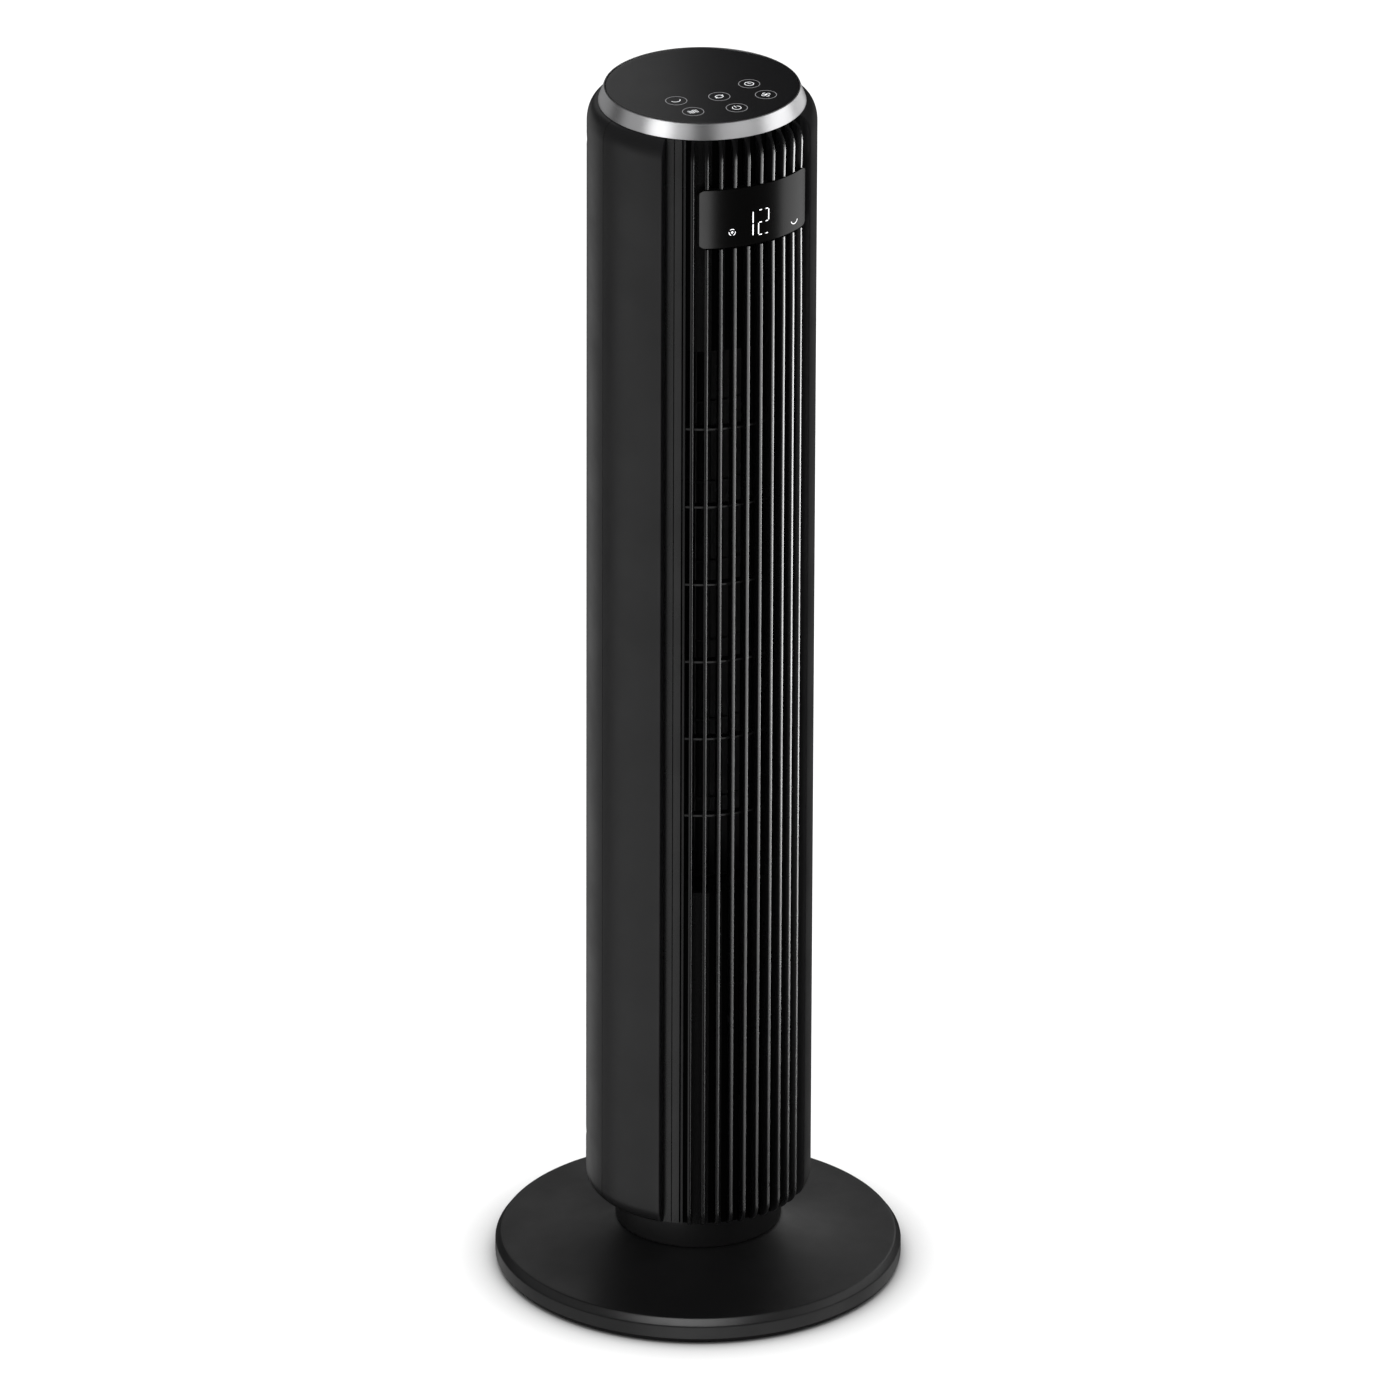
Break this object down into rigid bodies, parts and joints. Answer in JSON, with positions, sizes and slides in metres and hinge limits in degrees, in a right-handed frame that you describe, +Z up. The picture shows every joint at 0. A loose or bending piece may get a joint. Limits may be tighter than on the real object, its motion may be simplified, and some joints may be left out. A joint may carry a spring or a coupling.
{
  "type": "tower fan",
  "caption": "Slim cylindrical tower fan on a round weighted base, with a bladed vertical outlet, a curved display window, a touch panel on top and a swinging tower.",
  "frame": {"origin": "centre of the round base on the floor", "axes": "+Z up along the tower's axis; the air outlet, display and touch keys face -Y; +X is at the right hand of someone who looks at the outlet"},
  "size_m": [0.2944, 0.2944, 0.92],
  "materials": {
    "base_plastic": "satin moulded plastic, near black",
    "shell_plastic": "satin moulded plastic, black",
    "grille_plastic": "satin moulded plastic, black, with polished edges",
    "dark_plastic": "plain moulded plastic, dark grey",
    "impeller_plastic": "moulded glass-filled plastic, black",
    "satin_silver": "satin silver, fine circular brushing",
    "panel_glass": "high gloss black",
    "display_glass": "smoked gloss window",
    "acetal": "natural white acetal",
    "cast_weight": "cast disc, dull",
    "zinc_steel": "zinc-plated steel",
    "screw_steel": "plated steel",
    "stator_iron": "laminated steel",
    "bronze": "sintered bronze",
    "foot_rubber": "matt rubber",
    "wire_sleeve": "soft PVC, black",
    "circuit_board": "green solder mask"
  },
  "bodies": {
    "base": {"base_cover": "base_plastic", "base_plate": "dark_plastic", "base_weight": "cast_weight", "rubber_feet": "foot_rubber", "base_screws": "screw_steel", "neck_collar": "base_plastic", "pivot_tube": "zinc_steel", "base_nut": "dark_plastic", "swivel_washer": "acetal", "sector_gear": "acetal", "retaining_nut": "zinc_steel"},
    "tower": {"bottom_chassis": "dark_plastic", "front_shell": "shell_plastic", "rear_shell": "shell_plastic", "inlet_grille": "shell_plastic", "outlet_grille": "grille_plastic", "top_ring": "satin_silver", "touch_panel": "panel_glass", "touch_board": "circuit_board", "top_frame": "dark_plastic", "display_pod": "dark_plastic", "display_lens": "display_glass", "display_board": "circuit_board", "control_board": "circuit_board", "duct_floor": "dark_plastic", "duct_cap": "dark_plastic", "scroll_casing": "dark_plastic", "air_tongue": "dark_plastic", "upper_bush": "bronze", "motor_can": "zinc_steel", "motor_stator": "stator_iron", "motor_bushes": "bronze", "motor_cushions": "foot_rubber", "motor_screws": "screw_steel", "swing_motor": "zinc_steel", "swing_motor_screws": "screw_steel", "power_board": "circuit_board", "wire_harness": "wire_sleeve", "handle_cup": "shell_plastic", "cord_gland": "wire_sleeve", "shell_screws": "screw_steel"},
    "impeller": {"impeller": "impeller_plastic", "impeller_shaft": "screw_steel", "motor_rotor": "stator_iron"},
    "pinion": {"drive_pinion": "acetal"}
  },
  "joints": [
    {"name": "tower_swing", "type": "hinge", "parent": "base", "child": "tower", "pos_m": [0, 0, 0.0635], "axis": [0, 0, 1], "range_deg": [-45, 45]},
    {"name": "impeller_spin", "type": "hinge", "parent": "tower", "child": "impeller", "pos_m": [0.004, 0.006, 0.3], "axis": [0, 0, 1], "continuous": true},
    {"name": "pinion_spin", "type": "hinge", "parent": "tower", "child": "pinion", "pos_m": [0.04005, 0, 0.07], "axis": [0, 0, 1], "range_deg": [-138, 138]}
  ],
  "couplings": [
    {"joint": "pinion_spin", "follows": "tower_swing", "ratio": 3}
  ]
}
